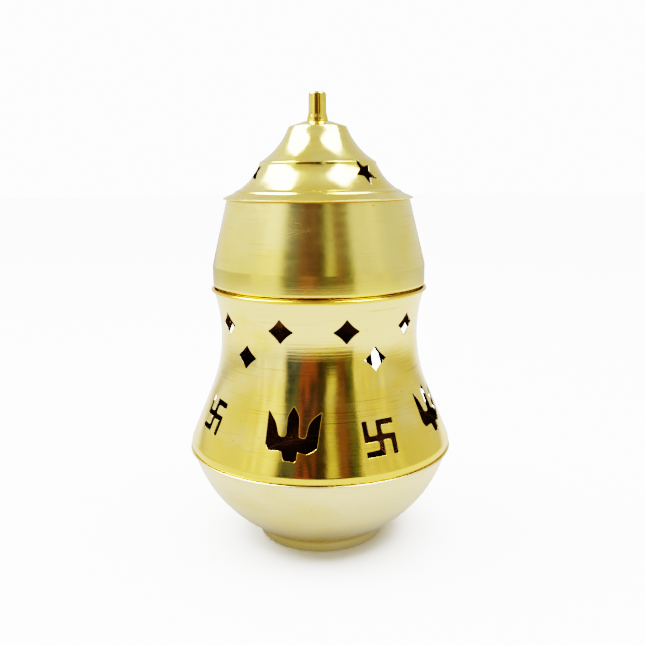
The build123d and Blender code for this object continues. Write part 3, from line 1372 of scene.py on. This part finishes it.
@dataclass
class Studio:
    """Floor, lights, cards and camera.

    A floor level is a distance from the object in metres and the tone that the brass mirrors there.
    This is a painted reflection of the floor, dark near the foot as a painted contact shadow.
    """

    camera_distance: float = 364.9 * MM
    camera_height: float = 170.8 * MM
    pitch: float = radians(10.95)
    yaw: float = radians(0.236)
    roll: float = radians(0.45)
    lens: float = 44.71
    sky: float = 0.85
    backdrop: float = 6.5
    # painted floor reflection: distance and tone, dark close to the foot as a painted shadow
    painted_floor_reflection_levels: tuple[tuple[float, float], ...] = (
        (0.03, 0.3), (0.05, 0.85), (0.09, 1.3), (0.45, 1.4), (0.60, 1.0), (0.75, 0.7),
    )
    floor_light_strength: float = 17.0
    lamp_distance: float = 1.2
    card_distance: float = 0.75
    cards: tuple[Card, ...] = (
        Card("slate_card", -37.5, -21.0, 0.012, 0.62, (0.05, 0.08, 0.13), (0.15, 0.19, 0.27), 0.33),
        Card("rust_card", -21.0, -4.0, 0.012, 0.60, (0.34, 0.14, 0.12), (0.05, 0.06, 0.07), 0.33),
        Card("olive_card", -4.0, 7.0, 0.012, 0.62, (0.05, 0.05, 0.04), (0.12, 0.11, 0.06), 0.33),
        Card("yellow_card", 7.0, 15.0, 0.11, 0.60, (0.66, 0.68, 0.48), (0.40, 0.42, 0.30)),
        Card("dark_card", 7.0, 15.0, 0.012, 0.11, (0.06, 0.08, 0.07), (0.12, 0.15, 0.08), 0.33),
        Card("umber_card", 15.0, 27.0, 0.012, 0.62, (0.08, 0.07, 0.06), (0.24, 0.15, 0.12), 0.33),
        Card("green_card", 27.0, 36.5, 0.012, 0.60, (0.06, 0.09, 0.06), (0.20, 0.25, 0.15), 0.33),
        Card("edge_card", 36.5, 38.5, 0.012, 0.60, (1.30, 1.25, 1.15), (1.00, 0.96, 0.88)),
        Card("left_wall", -72.0, -41.0, 0.012, 0.9, (1.00, 0.95, 0.86), (1.50, 1.45, 1.35)),
        Card("right_wall", 42.0, 78.0, 0.012, 0.9, (0.66, 0.63, 0.56), (0.90, 0.86, 0.76)),
        Card("upper_left", -44.0, -15.0, 0.62, 1.1, (0.45, 0.43, 0.38), (0.60, 0.58, 0.50)),
        Card("upper_dark", -15.0, 15.0, 0.62, 1.1, (0.20, 0.19, 0.14), (0.30, 0.28, 0.22)),
        Card("upper_right", 15.0, 44.0, 0.62, 1.1, (0.45, 0.43, 0.38), (0.60, 0.58, 0.50)),
    )

    def build(self) -> None:
        """Sets the whole studio up."""
        self.world()
        self.floor()
        for card in self.cards:
            self.stand(card)
        self.light("left_softbox", bearing=-94.0, rise=55.0, power=34.0, size=0.80)
        self.light("right_softbox", bearing=72.0, rise=62.0, power=17.0, size=0.60)
        self.floor_light()
        self.camera()

    def world(self) -> None:
        """A pale room, brighter near the horizon than overhead, and plain white to the camera."""
        world = bpy.data.worlds.new("pale_room")
        world.use_nodes = True
        bpy.context.scene.world = world
        bench = NodeBench(world.node_tree)
        x, _, z = bench.split("Generated")
        sideways = bench.node("ShaderNodeMapRange", {
            "Value": x, "From Min": -1.0, "To Min": 1.18 * self.sky, "To Max": 0.82 * self.sky,
        })
        room = world.node_tree.nodes["Background"]
        bench.link(sideways.outputs[0], room.inputs["Strength"])
        bench.link(bench.ramp(z, ((0.0, WHITE), (0.75, (0.72, 0.72, 0.72)))), room.inputs["Color"])
        backdrop = bench.node(
            "ShaderNodeBackground", {"Color": opaque(WHITE), "Strength": self.backdrop}
        )
        seen = bench.seen_by("Is Camera Ray", room.outputs[0], backdrop.outputs[0])
        bench.link(seen, world.node_tree.nodes["World Output"].inputs["Surface"])

    def floor(self) -> None:
        """A pale floor, wide enough to meet the horizon. Glossy rays see a painted reflection of it
        instead, dark near the foot as a painted contact shadow.
        """
        bm = bmesh.new()
        bmesh.ops.create_circle(bm, cap_ends=True, radius=5.0, segments=96)
        floor = object_from(bm, "floor")
        paint = Paint("pale_floor")
        for label, value in (
            ("Base Color", (0.80, 0.80, 0.79, 1.0)), ("Roughness", 0.8), ("Specular IOR Level", 0.2)
        ):
            paint.link(value, paint.shader.inputs[label])
        where = paint.node("ShaderNodeTexCoord").outputs["Object"]
        reach = paint.node("ShaderNodeVectorMath", {0: where}, operation="LENGTH").outputs["Value"]
        # Painted reflection: black at the centre and dark within a few centimetres as a painted
        # contact shadow, brightest from about 0.09 to 0.45 m out, dimmer beyond.
        stops = [(0.0, (0.0, 0.0, 0.0)), (1.0, (0.6, 0.6, 0.6))]
        stops += [(at, (level, 0.985 * level, 0.95 * level)) for at, level in self.painted_floor_reflection_levels]
        painted_floor_reflection = paint.node("ShaderNodeEmission", {"Color": paint.ramp(reach, stops)})
        seen = paint.seen_by("Is Glossy Ray", paint.shader.outputs[0], painted_floor_reflection.outputs[0])
        paint.link(seen, paint.surface)
        floor.data.materials.append(paint.made)

    def towards(self, bearing: float, rise: float, away: float) -> Vector:
        """A place in the studio.

        Args:
            bearing: angle round the object, from the front towards +X.
            rise: angle above the floor.
            away: distance from the foot of the object, in metres.

        Returns:
            The place.
        """
        turn, lift = radians(bearing), radians(rise)
        return away * Vector((sin(turn) * cos(lift), -cos(turn) * cos(lift), sin(lift)))

    def facing(self, spot: Vector) -> Matrix:
        """Matrix that puts something at a spot with its +Z side towards the object."""
        centre = Vector((0.0, 0.0, 0.1))
        return Matrix.Translation(spot) @ (spot - centre).to_track_quat("Z", "Y").to_matrix().to_4x4()

    def stand(self, card: Card) -> None:
        """Builds one card, which only the brass sees.

        Args:
            card: the card.
        """
        bm = bmesh.new()
        foot = bm.verts.new(self.towards(card.start, 0.0, self.card_distance))
        bmesh.ops.spin(
            bm, geom=[foot], cent=(0, 0, 0), axis=(0, 0, 1), angle=radians(card.end - card.start),
            steps=6, use_merge=False, use_duplicate=False,
        )
        bmesh.ops.translate(bm, vec=(0, 0, card.low), verts=bm.verts)
        lower = bm.edges[:]
        top = bmesh.ops.extrude_edge_only(bm, edges=lower)["geom"]
        bmesh.ops.translate(bm, vec=(0, 0, card.high - card.low), verts=verts_of(top))
        if card.laid:
            nearer = 1.0 - card.laid / self.card_distance
            front = bmesh.ops.extrude_edge_only(bm, edges=lower)["geom"]
            bmesh.ops.scale(bm, vec=(nearer, nearer, 1.0), verts=verts_of(front))
        board = object_from(bm, card.name)
        board.data.materials.append(self.cloth(card))
        board.visible_camera = board.visible_shadow = board.visible_diffuse = False

    def cloth(self, card: Card) -> bpy.types.Material:
        """The self-lit cloth of a card, with upright folds.

        Args:
            card: the card that gives its two colours.

        Returns:
            The material.
        """
        paint = Paint(card.name)
        where = paint.node("ShaderNodeTexCoord").outputs["Object"]
        tall = paint.node("ShaderNodeMapping", {"Vector": where, "Scale": (17.0, 17.0, 4.0)})
        folds = paint.spread(paint.noise(tall.outputs["Vector"], 3.0, 0.5), 0.42, 0.58, "LINEAR")
        shown = paint.mix(folds, opaque(card.colour), opaque(card.weave))
        glow = paint.node("ShaderNodeEmission", {"Color": shown})
        paint.tree.nodes.remove(paint.shader)
        paint.link(glow.outputs[0], paint.surface)
        return paint.made

    def hang(self, data: bpy.types.ID) -> bpy.types.Object:
        """Puts a lamp or a camera in the scene.

        Args:
            data: the lamp or the camera, which gives its object its name.

        Returns:
            The object that holds it.
        """
        held = bpy.data.objects.new(data.name, data)
        bpy.context.scene.collection.objects.link(held)
        return held

    def light(self, name: str, bearing: float, rise: float, power: float, size: float) -> None:
        """Hangs a soft square light.

        Args:
            name: the light's name.
            bearing: angle round the object, from the front towards +X.
            rise: angle above the floor.
            power: watts.
            size: side of the square, in metres.
        """
        lamp = bpy.data.lights.new(name, "AREA")
        lamp.energy, lamp.size = power, size
        self.hang(lamp).matrix_world = self.facing(self.towards(bearing, rise, self.lamp_distance))

    def floor_light(self) -> None:
        """Lights the floor from above, softly, without showing in the brass."""
        lamp = bpy.data.lights.new("floor_light", "SUN")
        lamp.energy, lamp.angle = self.floor_light_strength, radians(70.0)
        self.hang(lamp).visible_glossy = False

    def camera(self) -> None:
        """Puts the camera at the front, a little above the waist and looking down."""
        camera = bpy.data.cameras.new("camera")
        camera.lens, camera.sensor_width = self.lens, 36.0
        held = self.hang(camera)
        held.matrix_world = (
            Matrix.Translation((0.0, -self.camera_distance, self.camera_height))
            @ Matrix.Rotation(-self.yaw, 4, "Z")
            @ Matrix.Rotation(pi / 2 - self.pitch, 4, "X")
            @ Matrix.Rotation(-self.roll, 4, "Z")
        )
        bpy.context.scene.camera = held
        view = bpy.context.scene.view_settings
        view.view_transform, view.look = "Filmic", "Very High Contrast"


def main() -> None:
    """Builds the burner, one sub-assembly after another, and then the studio."""
    logging.basicConfig(level=logging.INFO, format="%(name)s: %(message)s")
    palette = Palette()
    for assembly in (Bowl, EmberCup, WaistCover, Collar, Lid):
        assembly(palette).build()
    Studio().build()


if __name__ == "__main__":
    main()
